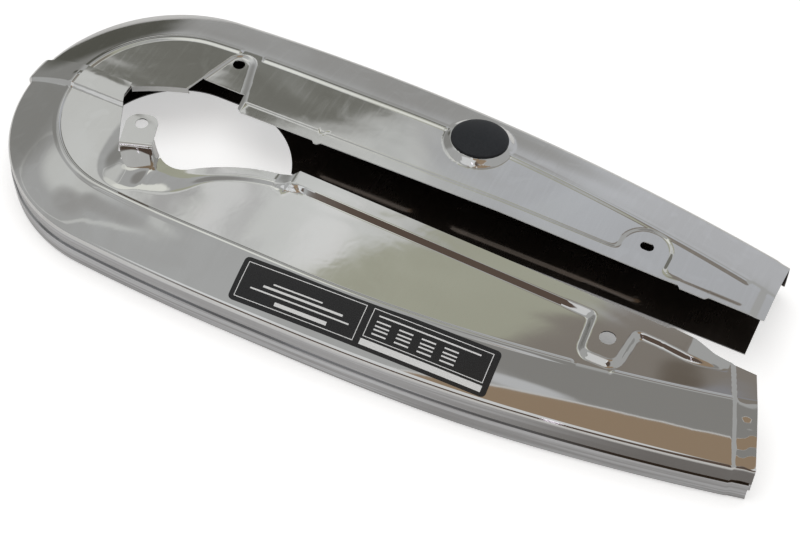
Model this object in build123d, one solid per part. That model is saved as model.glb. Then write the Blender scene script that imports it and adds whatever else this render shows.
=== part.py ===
from build123d import *
import os
from math import asin, atan, cos, degrees, pi, radians, sin, sqrt, tan

# Fully enclosed motorcycle chain case in plated pressed steel, lying on its wheel-side face.
# The origin is the rear axle line on the wheel-side face. +X runs to the open front end,
# +Y to the lower half with the inspection plug, +Z out of the outer face. Millimetres.

# Sheet and clearances
sheet = 0.9
lap_gap = 0.1
plug_clearance = 0.1

# Heights above the wheel-side face
fold_height = 32.0
crown_height = 45.0
seam_height = 16.5
seam_lap = 6.0

# Rim fold outline: a round rear end and two long flat arcs that leave it tangentially
rear_radius = 114.0
side_radius = 1650.0
side_apex_x = 100.0
fold_radius = 3.0
pan_radius = 4.0
bend_steps = 2

# Crease where the sloping border of the outer face meets the flat field
crease_radius = 77.0
crease_side_radius = 1420.0
crease_apex_x = 110.0

# Rolled bead along the crease, in stretches
bead_top_width = 2.0
bead_rise = 0.9
bead_draft = 45.0
bead_root = 2.0
bead_end_sides = 8
upper_bead_start_angle = 191.5
upper_bead_break = (338.0, 366.0)
upper_bead_end_x = 440.0
lower_bead_start_angle = 168.5
lower_bead_pad_break = (14.0, 36.0)
lower_bead_plug_break = (181.0, 233.0)
lower_bead_end_x = 415.0

# Rear overlap, where the end of the upper half slips over the end of the lower half
overlap_end_y = 13.0
overlap_band = 20.0
overlap_clearance = 0.9
overlap_tuck = 16.0

# Front ends
blank_front = 520.0
upper_front_inner = (446.5, -18.5)
upper_front_outer = (472.3, -82.3)
upper_end_band = 14.5
upper_pan_setback = 8.0
lower_front_x = 436.5
lower_end_band = 8.0
lower_pan_setback = 6.0
end_joggle = 1.0

# Inner edge of the upper outer panel, from the rear overlap round the hub to the front
opening_rear_x = -37.0
opening_side = ((-36.0, 1.0), (-27.5, -17.0), (-11.5, -45.5))
opening_foot = ((19.0, -38.5), (31.0, -41.7), (41.5, -37.0))
opening_flare = ((70.0, -20.0), (107.5, -11.2))
gap_step = ((111.0, -5.6), (384.0, -13.5))
gap_tongue = ((387.0, -12.0), (403.0, -13.3), (417.0, -17.0))
border_width = 12.5
border_rise = 4.0
border_end_x = 429.0

# Front fixing boss of the upper half
boss_centre_x = 352.6
boss_top_width = 36.0
boss_foot_width = 25.0
boss_foot_y = -55.4
boss_corner_radius = 7.0
upper_slot_y = -38.1
upper_slot_length = 11.0
upper_slot_width = 10.0

# Rear fixing tab, bent up out of the border of the upper half
tab_base = (6.2, -47.2)
tab_turn = 19.0
tab_width = 22.8
tab_length = 28.5
tab_height = 16.0
tab_hole_reach = 19.2
tab_bend_radius = 2.5
tab_corner_radius = 9.0
tab_relief = 1.5
tab_web = 7.0
fixing_hole_radius = 4.5

# Inner edge of the lower outer panel, from the rear overlap to the front
cheek_edge = ((-37.0, 11.4), (-20.0, 20.5), (0.2, 28.3))
pad_edge_y = 42.5
pad_edge_x = (4.6, 38.4)
gap_lower_rear = ((40.5, 29.0), (44.6, 26.0))
gap_lower = ((244.0, 27.7), (433.1, 23.0))
tongue_rear_x = (102.0, 109.0)
tongue_front_x = (376.0, 398.0)
tongue_drop = 2.2
lip_depth = 5.0
ledge_width = 9.2
ledge_drop = 1.2
ledge_end_x = 419.0

# Rear fixing pad of the lower half, pressed in below the field
pad_hole = (20.0, 66.3)
pad_crest_y = 74.5
pad_crest_width = 13.5
pad_corner_radius = 6.0
pad_drop = 3.0

# Front fixing arch of the lower half
arch_centre_x = 346.5
arch_width = 35.0
arch_top_y = 58.5
arch_corner_radius = 16.5
lower_slot_y = 45.0
lower_slot_length = 9.5
lower_slot_width = 6.8

# Inspection plug on its drafted collar, square to the crease
plug_x = 207.4
plug_radius = 20.5
plug_dome = 3.0
plug_lip = 2.2
plug_neck_radius = 16.5
plug_barb = 1.4
plug_barb_length = 3.0
plug_sides = 60
plug_dome_rings = 5
collar_radius = 22.0
collar_rise = 1.2
collar_draft = 16.0

# Wheel-side panels: hub hole, inner edges and long stiffening panels
hub_radius = 65.0
hub_travel = 24.0
pan_edge_lower_y = 24.0
pan_edge_upper_y = -16.0
stiffener_spans = ((101.0, 180.0), (206.0, 354.0))
stiffener_width = 24.0
stiffener_edge = 7.0
stiffener_rise = 2.0
stiffener_corner_radius = 6.0

# Label on the sloping border of the upper half
label_length = 184.0
label_x = 205.5
label_bead_gap = 0.3
label_fold_gap = 1.6
label_corner_radius = 4.0
label_thickness = 0.2
label_glue = 0.1

# Worked out from the sizes above
crown_slope = atan((crown_height - fold_height) / (rear_radius - crease_radius))
pan_grow = sheet + lap_gap
overlap_joggle = pan_grow + sheet + overlap_clearance
bead_reach = bead_top_width / 2 + bead_rise / tan(radians(bead_draft))
tall = 2 * crown_height
reach = 2 * blank_front
trim = 1.0
pick = 0.01


def side_reach(end_radius, flank_radius, apex_x):
    """Distance of a flank arc's centre from the centre line, for a tangent rear arc."""
    return sqrt((flank_radius - end_radius) ** 2 - apex_x ** 2)


def flank_y(end_radius, flank_radius, apex_x, x):
    """Distance from the centre line to a flank arc at x."""
    return sqrt(flank_radius ** 2 - (x - apex_x) ** 2) - side_reach(end_radius, flank_radius, apex_x)


def crease_y(x):
    return flank_y(crease_radius, crease_side_radius, crease_apex_x, x)


def fold_y(x):
    return flank_y(rear_radius, side_radius, side_apex_x, x)


def case_outline(end_radius, flank_radius, apex_x, inset, level):
    """Flat face with the plan of the case: rear arc, two flanks and a straight front."""
    offset_y = side_reach(end_radius, flank_radius, apex_x)
    scale = (end_radius - inset) / (flank_radius - end_radius)
    flank = flank_radius - inset

    def edge_y(x):
        return sqrt(flank ** 2 - (x - apex_x) ** 2) - offset_y

    tangent = (-apex_x * scale, offset_y * scale)
    middle_x = (tangent[0] + blank_front) / 2
    front_y = edge_y(blank_front)
    edges = [
        ThreePointArc(tangent, (inset - end_radius, 0), (tangent[0], -tangent[1])),
        ThreePointArc((tangent[0], -tangent[1]), (middle_x, -edge_y(middle_x)), (blank_front, -front_y)),
        Line((blank_front, -front_y), (blank_front, front_y)),
        ThreePointArc((blank_front, front_y), (middle_x, edge_y(middle_x)), tangent),
    ]
    return Pos(0, 0, level) * make_face(edges)


def bend(radius, depth, turn):
    """Inset and rise of each station round a bend, depth inside its outer surface."""
    angles = [turn * step / bend_steps for step in range(bend_steps + 1)]
    return [(radius - (radius - depth) * cos(angle), (radius - depth) * sin(angle)) for angle in angles]


def crown_form(depth):
    """Solid under the face that lies depth inside the outer pressing's surface."""
    turn = pi / 2 - crown_slope
    wall_z = fold_height - fold_radius * tan(turn / 2)
    foot_z = seam_height - seam_lap - max(depth, 0)
    levels = [
        case_outline(rear_radius, side_radius, side_apex_x, inset, wall_z + rise)
        for inset, rise in bend(fold_radius, depth, turn)
    ]
    crease_inset = depth * tan(crown_slope / 2)
    crease_z = crown_height - depth
    crease = case_outline(crease_radius, crease_side_radius, crease_apex_x, crease_inset, crease_z)
    return extrude(levels[0], foot_z - wall_z) + loft([*levels, crease], ruled=True)


def block(x_range, y_range, z_range=(-tall, tall)):
    """Box between two corners."""
    sizes = [high - low for low, high in (x_range, y_range, z_range)]
    middle = [(high + low) / 2 for low, high in (x_range, y_range, z_range)]
    return Pos(*middle) * Box(*sizes)


def prism(face, low, high):
    return Pos(0, 0, low) * extrude(face, high - low)


def bead_profile(depth):
    """Half widths at the foot and the top of a bead's section, and its height."""
    height = bead_rise + bead_root
    top = bead_top_width / 2 - depth * tan(radians(bead_draft / 2))
    return top + height / tan(radians(bead_draft)), top, height


def bead_end(x, y, heading, depth):
    """Drafted end of a bead that runs along heading."""
    foot, top, height = bead_profile(depth)
    levels = [
        Pos(0, 0, level) * RegularPolygon(radius, bead_end_sides)
        for radius, level in ((foot, -height), (top, 0))
    ]
    return Pos(x, y, crown_height + bead_rise - depth) * Rot(0, 0, heading) * loft(levels, ruled=True)


def bead_run(start, forward, centre, side, turn, depth):
    """Drafted bead swept round a centre from its start, through turn degrees."""
    foot, top, height = bead_profile(depth)
    top_z = bead_rise - depth
    points = [(-foot, top_z - height), (foot, top_z - height), (top, top_z), (-top, top_z)]
    plane = Plane((*start, crown_height), x_dir=(-forward[1], forward[0], 0), z_dir=(*forward, 0))
    section = plane * make_face(Polyline(*points, close=True))
    return revolve(section, Axis((*centre, 0), (0, 0, -side)), turn)


def flank_bead(side, start_x, end_x, depth):
    """Bead along a flank of the crease, with round ends."""
    centre = (crease_apex_x, -side * side_reach(crease_radius, crease_side_radius, crease_apex_x))
    start = (start_x, side * crease_y(start_x))
    angles = [asin((x - crease_apex_x) / crease_side_radius) for x in (start_x, end_x)]
    forward = (cos(angles[0]), -side * sin(angles[0]))
    run = bead_run(start, forward, centre, side, degrees(angles[1] - angles[0]), depth)
    headings = [-side * degrees(angle) for angle in angles]
    run += bead_end(*start, headings[0], depth)
    return run + bead_end(end_x, side * crease_y(end_x), headings[1], depth)


def rear_bead(side, start_angle, end_x, depth):
    """Bead round the rear of the crease and on along the flank to end_x."""
    flank_centre_y = side_reach(crease_radius, crease_side_radius, crease_apex_x)
    tangent_x = -crease_apex_x * crease_radius / (crease_side_radius - crease_radius)
    tangent_angle = 90 + degrees(atan(crease_apex_x / flank_centre_y))
    turn = start_angle - tangent_angle if side > 0 else 360 - tangent_angle - start_angle
    angle = radians(start_angle)
    start = (crease_radius * cos(angle), crease_radius * sin(angle))
    forward = (side * sin(angle), -side * cos(angle))
    run = bead_run(start, forward, (0, 0), side, turn, depth)
    return run + bead_end(*start, start_angle, depth) + flank_bead(side, tangent_x, end_x, depth)


def upper_opening():
    """Plan of everything on the open side of the upper outer panel's inner edge."""
    side_top, side_middle, side_foot = opening_side
    far_y = reach
    corners = [gap_step[0], gap_step[1], *gap_tongue, upper_front_inner]
    far_x = blank_front + reach
    tail = [(far_x, upper_front_inner[1]), (far_x, far_y), (opening_rear_x, far_y)]
    edges = [
        Line((opening_rear_x, overlap_end_y), side_top),
        ThreePointArc(side_top, side_middle, side_foot),
        Line(side_foot, opening_foot[0]),
        ThreePointArc(*opening_foot),
        ThreePointArc(opening_foot[2], *opening_flare),
        Polyline(opening_flare[1], *corners, *tail, (opening_rear_x, overlap_end_y)),
    ]
    return make_face(edges)


def lower_opening():
    """Plan of everything on the open side of the lower outer panel's inner edge."""
    far_y = -reach
    rear_x = cheek_edge[0][0]
    pad_left, pad_right = pad_edge_x
    gap_mid, gap_front = gap_lower

    def gap_y(x):
        low, high = (gap_lower_rear[1], gap_mid) if x < gap_mid[0] else (gap_mid, gap_front)
        return low[1] + (high[1] - low[1]) * (x - low[0]) / (high[0] - low[0])

    def tongue(span):
        start, end = span
        bevel = tongue_drop
        return [
            (start, gap_y(start)),
            (start + bevel, gap_y(start) - tongue_drop),
            (end - bevel, gap_y(end) - tongue_drop),
            (end, gap_y(end)),
        ]

    corners = [
        (pad_left, pad_edge_y),
        (pad_right, pad_edge_y),
        *gap_lower_rear,
        *tongue(tongue_rear_x),
        gap_mid,
        *tongue(tongue_front_x),
        gap_front,
        (blank_front + reach, gap_front[1]),
        (blank_front + reach, far_y),
        (rear_x, far_y),
    ]
    return make_face([ThreePointArc(*cheek_edge), Polyline(cheek_edge[2], *corners, cheek_edge[0])])


def end_wedge(inner, outer, setback):
    """Plan of everything beyond a raked front line, moved back by setback."""
    run = Vector(*outer) - Vector(*inner)
    back = Vector(run.Y, -run.X).normalized() * setback
    along = run.normalized() * reach
    ends = [Vector(*inner) - along + back, Vector(*outer) + along + back]
    away = Vector(-run.Y, run.X).normalized() * reach
    return make_face(Polyline(*ends, ends[1] + away, ends[0] + away, close=True))


def tapered_boss(width, foot_width, top_y, foot_y, centre_x, corner):
    """Plan of a boss that narrows to a rounded foot."""
    points = [
        (centre_x - width / 2, top_y),
        (centre_x - foot_width / 2, foot_y),
        (centre_x + foot_width / 2, foot_y),
        (centre_x + width / 2, top_y),
    ]
    shape = make_face(Polyline(*points, close=True))
    foot = shape.vertices().filter_by_position(Axis.Y, foot_y - pick, foot_y + pick)
    return fillet(foot, corner)


def upper_die(depth):
    """Form that the upper outer panel is pressed over, depth inside its surface."""
    body = crown_form(depth)
    band = block((-reach, 0), (overlap_end_y - overlap_band + depth, reach))
    body += crown_form(depth - overlap_joggle) & band
    top_z = crown_height + border_rise - depth
    border = offset(upper_opening(), border_width - depth, kind=Kind.ARC)
    border -= Pos(border_end_x - depth, 0) * Rectangle(reach, 2 * reach, align=(Align.MIN, Align.CENTER))
    boss = tapered_boss(boss_top_width, boss_foot_width, 0, boss_foot_y, boss_centre_x, boss_corner_radius)
    boss = offset(boss, -depth, kind=Kind.ARC) if depth else boss
    field = case_outline(crease_radius, crease_side_radius, crease_apex_x, bead_reach + depth, 0)
    body += prism((border + boss) & field, fold_height, top_z)
    body += rear_bead(-1, upper_bead_start_angle, upper_bead_break[0], depth)
    body += flank_bead(-1, upper_bead_break[1], upper_bead_end_x, depth)
    front = prism(end_wedge(upper_front_inner, upper_front_outer, upper_end_band + depth), -tall, tall)
    return (body - front) + (crown_form(depth + end_joggle) & front)


def tab_solid():
    """Rear fixing tab in its place: an upright wall and a plate with a round end."""
    base_z = crown_height + border_rise - sheet
    top_z = crown_height + border_rise + tab_height
    profile = Polyline(
        (-sheet, base_z), (0, base_z), (0, top_z - sheet), (tab_length, top_z - sheet),
        (tab_length, top_z), (-sheet, top_z), close=True,
    )
    section = make_face(profile)
    bends = section.vertices().filter_by_position(Axis.Y, top_z - sheet - pick, top_z + pick)
    outer = bends.filter_by_position(Axis.X, -sheet - pick, -sheet + pick)
    section = fillet(outer, tab_bend_radius)
    inner = section.vertices().filter_by_position(Axis.Y, top_z - sheet - pick, top_z - sheet + pick)
    inner = inner.filter_by_position(Axis.X, -pick, pick)
    section = fillet(inner, tab_bend_radius - sheet)
    tab = extrude(Plane.YZ * section, tab_width / 2, both=True)
    corners = tab.edges().filter_by(Axis.Z).filter_by_position(Axis.Y, tab_length - pick, tab_length + pick)
    tab = fillet(corners, tab_corner_radius)
    web_x = (tab_width / 2 - sheet, tab_width / 2)
    tab += block(web_x, (-sheet, tab_web), (base_z, top_z - tab_bend_radius))
    tab += block(web_x, (tab_bend_radius, tab_web), (base_z, top_z))
    tab -= Pos(0, tab_hole_reach, top_z) * Cylinder(fixing_hole_radius, tall)
    return Pos(*tab_base) * Rot(0, 0, tab_turn) * tab


def tab_notch():
    """Plan of the notch that the tab was bent out of, with its two bend reliefs."""
    notch = Rectangle(tab_width + 2 * tab_relief, tab_length, align=(Align.CENTER, Align.MIN))
    sides = Rectangle(tab_relief, 2 * tab_relief, align=(Align.CENTER, Align.CENTER))
    shift = (tab_width + tab_relief) / 2
    shape = notch + Pos(-shift, 0) * sides + Pos(shift, 0) * sides
    return Pos(*tab_base) * Rot(0, 0, tab_turn) * shape


def slot(centre_x, centre_y, length, width):
    """Round-ended slot through everything, long along X."""
    plan = Pos(centre_x, centre_y) * SlotOverall(length, width)
    return prism(plan, -tall, tall)


def make_upper_outer_panel():
    panel = upper_die(0) - upper_die(sheet)
    panel -= prism(upper_opening() + tab_notch(), -tall, tall)
    panel -= block((-reach, opening_rear_x + trim), (overlap_end_y, reach))
    panel -= prism(end_wedge(upper_front_inner, upper_front_outer, 0), -tall, tall)
    panel -= slot(boss_centre_x, upper_slot_y, upper_slot_length, upper_slot_width)
    return panel + tab_solid()


def lower_die(depth):
    """Form that the lower outer panel is pressed over, depth inside its surface."""
    body = crown_form(depth)
    body += collar_form(depth)
    body += rear_bead(1, lower_bead_start_angle, lower_bead_pad_break[0], depth)
    body += flank_bead(1, lower_bead_pad_break[1], lower_bead_plug_break[0], depth)
    body += flank_bead(1, lower_bead_plug_break[1], lower_bead_end_x, depth)
    gap_start = block((pad_edge_x[1], ledge_end_x + depth), (0, pad_edge_y - 2 * trim))
    arch = Pos(arch_centre_x, 0) * Rectangle(arch_width, arch_top_y, align=(Align.CENTER, Align.MIN))
    arch_corners = arch.vertices().filter_by_position(Axis.Y, arch_top_y - pick, arch_top_y + pick)
    arch = fillet(arch_corners, arch_corner_radius)
    ledge = prism(offset(lower_opening(), ledge_width + depth, kind=Kind.ARC), -tall, tall) & gap_start
    ledge += prism(offset(arch, depth, kind=Kind.ARC) if depth else arch, -tall, tall)
    body -= ledge & block((0, reach), (0, reach), (crown_height - ledge_drop - depth, tall))
    pad_x = sum(pad_edge_x) / 2
    pad_width = pad_edge_x[1] - pad_edge_x[0]
    pad = tapered_boss(pad_width, pad_crest_width, pad_edge_y, pad_crest_y, pad_x, pad_corner_radius)
    pad = offset(pad, depth, kind=Kind.ARC) if depth else pad
    body -= prism(pad, crown_height - pad_drop - depth, tall)
    front = block((lower_front_x - lower_end_band - depth, reach), (-reach, reach))
    return (body - front) + (crown_form(depth + end_joggle) & front)


def plug_frame():
    """Plane square to the crease at the inspection plug, with Z out of the case."""
    tilt = crown_slope / 2
    return Plane((plug_x, crease_y(plug_x), crown_height), x_dir=(1, 0, 0), z_dir=(0, sin(tilt), cos(tilt)))


def collar_form(depth):
    """Drafted collar that carries the plug, depth inside its surface."""
    drop = crown_height - fold_height
    height = collar_rise + drop - depth
    top_radius = collar_radius - depth
    foot_radius = top_radius + height * tan(radians(collar_draft))
    cone = Cone(foot_radius, top_radius, height, align=(Align.CENTER, Align.CENTER, Align.MIN))
    return plug_frame() * Pos(0, 0, -drop) * cone


def make_lower_outer_panel():
    panel = lower_die(0) - lower_die(sheet)
    panel -= prism(lower_opening(), -tall, tall)
    panel -= block((-reach, cheek_edge[0][0] + trim), (-reach, overlap_end_y - overlap_tuck))
    panel -= block((lower_front_x, reach), (-reach, reach))
    panel -= plug_frame() * Cylinder(plug_neck_radius + plug_clearance, fold_height)
    panel -= Pos(*pad_hole, crown_height) * Cylinder(fixing_hole_radius, tall)
    panel -= slot(arch_centre_x, lower_slot_y, lower_slot_length, lower_slot_width)
    lip = offset(lower_opening(), sheet, kind=Kind.ARC) - lower_opening()
    lip = prism(lip, crown_height - lip_depth, crown_height - sheet / 2)
    return panel + (lip & block((cheek_edge[0][0], cheek_edge[2][0]), (cheek_edge[0][1], cheek_edge[2][1])))


def pan_form(depth, let_out=0.0):
    """Solid inside the wheel-side pressing, depth inside its surface, let out sideways."""
    levels = [
        case_outline(rear_radius, side_radius, side_apex_x, inset - pan_grow - let_out, pan_radius - rise)
        for inset, rise in bend(pan_radius, depth, pi / 2)
    ]
    return extrude(levels[0], seam_height - pan_radius + depth) + loft(levels[::-1], ruled=True)


def hub_hole():
    """Plan of the hub hole, long enough for the chain adjustment."""
    ends = Circle(hub_radius) + Pos(hub_travel, 0) * Circle(hub_radius)
    return ends + Pos(hub_travel / 2, 0) * Rectangle(hub_travel, 2 * hub_radius)


def stiffeners(side, edge_y, grow):
    """Plan of the long stiffening panels beside the inner edge of a wheel-side panel."""
    shapes = []
    for start, end in stiffener_spans:
        middle = ((start + end) / 2, edge_y + side * (stiffener_edge + stiffener_width / 2))
        size = (end - start + 2 * grow, stiffener_width + 2 * grow)
        shapes.append(Pos(*middle) * RectangleRounded(*size, stiffener_corner_radius + grow))
    return shapes


def pan_die(side, edge_y, depth):
    """Form that a wheel-side panel is pressed over, with its stiffeners pushed in."""
    body = pan_form(depth)
    for shape in stiffeners(side, edge_y, depth):
        body -= prism(shape, -tall, stiffener_rise + depth)
    return body


def make_upper_inner_panel():
    solid, hollow = (pan_die(-1, pan_edge_upper_y, depth) for depth in (0, sheet))
    band = block((-reach, 0), (overlap_end_y - overlap_band - sheet - lap_gap, reach))
    solid += pan_form(0, overlap_joggle) & band
    hollow += pan_form(sheet, overlap_joggle) & Pos(0, sheet, 0) * band
    panel = solid - hollow
    panel -= prism(hub_hole(), -tall, tall)
    panel -= block((0, reach), (pan_edge_upper_y, reach))
    panel -= block((-reach, reach), (overlap_end_y, reach))
    return panel - prism(end_wedge(upper_front_inner, upper_front_outer, upper_pan_setback), -tall, tall)


def make_lower_inner_panel():
    solid, hollow = (pan_die(1, pan_edge_lower_y, depth) for depth in (0, sheet))
    tuck_z = sheet + lap_gap
    tuck = block((-reach, 0), (-reach, overlap_end_y + trim), (-tall, tuck_z))
    solid -= tuck
    hollow -= Pos(0, sheet, sheet) * tuck
    panel = solid - hollow
    panel -= prism(hub_hole(), -tall, tall)
    panel -= block((0, reach), (-reach, pan_edge_lower_y))
    panel -= block((-reach, reach), (-reach, overlap_end_y - overlap_tuck))
    return panel - block((lower_front_x - lower_pan_setback, reach), (-reach, reach))


def make_inspection_plug():
    """Domed rubber plug with a neck through the collar and a barb behind it, with light facets for its round."""
    seat = collar_rise
    grip = seat - sheet - lap_gap
    shoulder = seat + plug_lip
    dome_radius = (plug_radius ** 2 + plug_dome ** 2) / (2 * plug_dome)
    dome_centre = shoulder + plug_dome - dome_radius

    def ring(radius, level=0):
        return Pos(0, 0, level) * RegularPolygon(radius, plug_sides)

    plug = prism(ring(plug_neck_radius + plug_barb), grip - plug_barb_length, grip)
    plug += prism(ring(plug_neck_radius), grip, seat)
    plug += prism(ring(plug_radius), seat, shoulder)
    radii = [plug_radius * (1 - step / plug_dome_rings) for step in range(plug_dome_rings)]
    dome = [ring(radius, dome_centre + sqrt(dome_radius ** 2 - radius ** 2)) for radius in radii]
    return plug_frame() * (plug + loft(dome, ruled=True))


def make_label():
    """Vinyl label that follows the sloping border."""
    fold_rear, fold_front = (fold_y(label_x + end * label_length / 2) for end in (-1, 1))
    inner_y = crease_y(label_x) + bead_reach / (1 - tan(crown_slope)) + label_bead_gap
    outer_y = (fold_rear + fold_front) / 2 - label_fold_gap
    turn = degrees(atan((fold_rear - fold_front) / label_length))
    plan = RectangleRounded(label_length, outer_y - inner_y, label_corner_radius)
    place = Pos(label_x, -(inner_y + outer_y) / 2) * Rot(0, 0, turn)
    window = prism(place * plan, fold_height, tall)
    return (crown_form(-label_glue - label_thickness) - crown_form(-label_glue)) & window


nodes = {
    "upper_outer_panel": make_upper_outer_panel(),
    "upper_inner_panel": make_upper_inner_panel(),
    "lower_outer_panel": make_lower_outer_panel(),
    "lower_inner_panel": make_lower_inner_panel(),
    "inspection_plug": make_inspection_plug(),
    "label": make_label(),
}

os.makedirs("parts", exist_ok=True)
for name, shape in nodes.items():
    export_step(shape, f"parts/{name}.step")
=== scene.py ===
import cmath
import math

import bpy
import numpy as np
from mathutils import Matrix, Vector


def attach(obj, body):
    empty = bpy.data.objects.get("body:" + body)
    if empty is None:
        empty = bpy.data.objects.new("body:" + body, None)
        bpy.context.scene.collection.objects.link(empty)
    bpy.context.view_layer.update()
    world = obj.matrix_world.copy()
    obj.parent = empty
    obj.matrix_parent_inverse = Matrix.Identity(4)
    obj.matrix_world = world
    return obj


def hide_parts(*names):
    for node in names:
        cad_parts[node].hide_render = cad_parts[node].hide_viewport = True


# Plated motorcycle chain case, dressed for the photograph. Sizes are millimetres in the row frame:
# +X to the open front end, +Y to the lower half with the plug, +Z out of the outer face.
# A place along X is the middle and length of a change there, or the middle and reach of a hill.
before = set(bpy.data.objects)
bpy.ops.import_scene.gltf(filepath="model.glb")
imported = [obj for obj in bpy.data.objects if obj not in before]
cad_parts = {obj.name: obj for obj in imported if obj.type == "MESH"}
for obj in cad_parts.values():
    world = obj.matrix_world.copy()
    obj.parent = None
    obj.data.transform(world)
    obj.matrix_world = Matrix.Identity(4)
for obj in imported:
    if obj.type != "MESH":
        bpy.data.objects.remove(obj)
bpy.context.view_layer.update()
mm = 0.001

# Sheet and heights
sheet = 0.9
lap_gap = 0.1
fold_height = 32.0
crown_height = 45.0
seam_height = 16.5
flange_foot = 10.5
fold_radius = 4.5
pan_radius = 4.0
pan_grow = 1.0

# Rim fold and crease outlines: rear radius, flank radius and x of the flank's apex
fold_outline = (114.0, 1650.0, 100.0)
crease_outline = (77.0, 1420.0, 110.0)
crease_trim = 2.2
crease_trim_place = (105.0, 70.0)

# Border: slope share at the crease, the roll at the crease and the band of close lanes round it
border_slope_start = 0.6
crease_roll = 3.0
crease_band = 4.0

# Flare of the upper half's rim at the front: at the fold, from there to the foot, and its place
fold_flare = 2.5
flange_lean = 2.9
flare_place = (215.0, 210.0)

# Beads on the crease, in runs along X or, with a minus sign, round the rear
bead_top = 1.0
bead_flank = 2.4
bead_steep = 0.9
bead_rise = 0.56
bead_front_fade = 0.4
bead_fade_place = (320.0, 80.0)
upper_bead_runs = ((-123.7, 338.0), (366.0, 440.0))
lower_bead_runs = ((-105.5, 14.0), (36.0, 181.0), (233.0, 415.0))

# Rear overlap
overlap_end = 13.0
overlap_band = 20.0
overlap_tuck = 16.0
overlap_joggle = 2.8
overlap_step = 4.0
tuck_step = 2.0
tuck_height = 12.0

# Front ends
front_part_x = 300.0
upper_front_inner = (446.5, 18.5)
upper_front_outer = (472.3, 82.3)
upper_end_band = 14.5
upper_end_joggle = 1.0
upper_end_step = 1.6
upper_pan_setback = 1.5
lower_front_x = 436.5
lower_end_band = 8.0
lower_end_joggle = 0.5
lower_end_step = 5.0
lower_pan_setback = 6.0
pan_margin = 1.0

# Hand dents in the upper end band: place, width and depth, and their stretch along X and Y
end_dent_spots = (
    (451, 46, 5.0, 0.35), (453, 54, 3.6, -0.5), (459, 58, 3.4, 0.55), (455, 63, 3.0, 0.5),
    (461, 65, 3.0, -0.55), (457, 69, 2.8, -0.5), (464, 70, 3.0, 0.55), (459, 74, 2.8, 0.5),
    (466, 76, 2.8, -0.5), (462, 79, 2.8, -0.45),
)
dent_stretch = (1.35, 0.8)

# Inner edge of the upper half, from the rear to the front
opening_rear = (-37.0, -overlap_end)
opening_side = ((-36.0, -1.0), (-27.5, 17.0), (-11.5, 45.5))
opening_foot = ((19.0, 38.5), (31.0, 41.7), (41.5, 37.0))
opening_flare = ((41.5, 37.0), (70.0, 20.0), (107.5, 11.2))
gap_step = ((111.0, 5.6), (384.0, 13.5))
gap_tongue = ((387.0, 12.0), (403.0, 13.3), (417.0, 17.0))

# Raised border and front boss of the upper half
border_width = 12.5
border_rise = 4.0
border_front_share = 0.55
border_fade_place = (415.0, 30.0)
tongue_span = (385.0, 416.0)
boss_x = 352.6
boss_half_widths = (18.0, 12.5)
boss_foot = 55.4
boss_corner = 7.0
boss_union = 5.0
upper_slot = (352.6, -38.1, 11.0, 10.0)

# Widths of the border's step: soft at the tab, beside the hub, plain wall, round the boss, in front
soft_step = 22.0
hub_step = 5.0
wall_step = 2.8
boss_step = 4.8
front_step = 3.6

# Border behind and beside the hub and at the tab, and the places where it changes
border_hub_share = 0.28
border_hub_trim = 3.0
border_at_tab = 9.0
tab_reach = (17.0, 28.0)
border_start_place = (-18.0, 24.0)
hub_start_place = (45.0, 30.0)
hub_end_place = (104.0, 14.0)
gap_corner_place = (107.0, 9.0)
boss_start_place = (322.0, 12.0)
boss_end_place = (368.0, 8.0)

# Rear tab of the upper half, and the notch that it leaves
tab_base = (6.2, -47.2)
tab_turn = 19.0
tab_width = 22.8
tab_length = 28.5
tab_top = 65.0
tab_bend = 2.5
tab_corner = 9.0
tab_hole_reach = 19.2
tab_columns = 25
tab_spread = 0.8
tab_web = 7.0
tab_web_corner = 3.0
tab_web_overhang = 0.6
tab_web_flare = 1.6
tab_web_back = 0.3
tab_web_drop = 0.5
tab_foot = crown_height + border_rise - sheet
hole_radius = 4.5
notch_span = (-10.0, 18.9)
notch_gap = 1.2
notch_depth = 7.4
notch_nib = (0.3, -4.2)

# Inner edge of the lower half: cheek, step to the straight gap, and the tongues along that
cheek_rear = (-36.8, -3.0)
cheek_edge = ((-37.0, 11.4), (-20.0, 20.5), (0.2, 28.3))
cheek_lip = 5.0
edge_reach = 0.08
gap_shoulder = (40.5, 29.0)
gap_line = ((44.6, 26.0), (244.0, 27.7), (433.1, 23.0))
tongues = ((102.0, 109.0), (376.0, 398.0))
tongue_drop = 2.2

# Ledge and arch of the lower half
ledge_width = 9.2
ledge_drop = 0.5
ledge_step = 2.0
ledge_span = (44.0, 419.0)
ledge_narrowing = 5.0
ledge_narrow_place = (358.5, 10.0)
ledge_fade = 0.9
ledge_fade_place = (370.5, 14.0)
arch_x = 346.5
arch_half_width = 17.5
arch_top = 58.5
arch_corner = 16.45
arch_union = 6.0
lower_slot = (346.5, 45.0, 9.5, 6.8)

# Rear pad of the lower half: left and right sides at the edge and crest, drops and wall widths
pad_edge = (4.6, 38.4)
pad_crest = (14.75, 28.25)
pad_span = (42.5, 74.5)
pad_corner = 6.0
pad_drops = (0.9, 1.5)
pad_walls = (1.6, 8.0)
pad_wall_place = (21.5, 12.0)
pad_hole = (20.0, 66.3)

# Plug and its collar
plug_x = 207.4
plug_radius = 20.5
plug_lip = 2.2
lip_chamfer = 0.3
plug_dome = 3.0
plug_neck = 16.5
plug_barb = 1.4
barb_rise = 0.4
plug_taper = 2.5
plug_depth = 4.0
plug_round = 1.0
plug_dome_shares = (0.92, 0.82, 0.7, 0.56, 0.42, 0.28, 0.14, 0.05)
collar_radius = 22.0
collar_rise = 1.2
collar_foot = 3.2
collar_wall = 4.4

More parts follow.
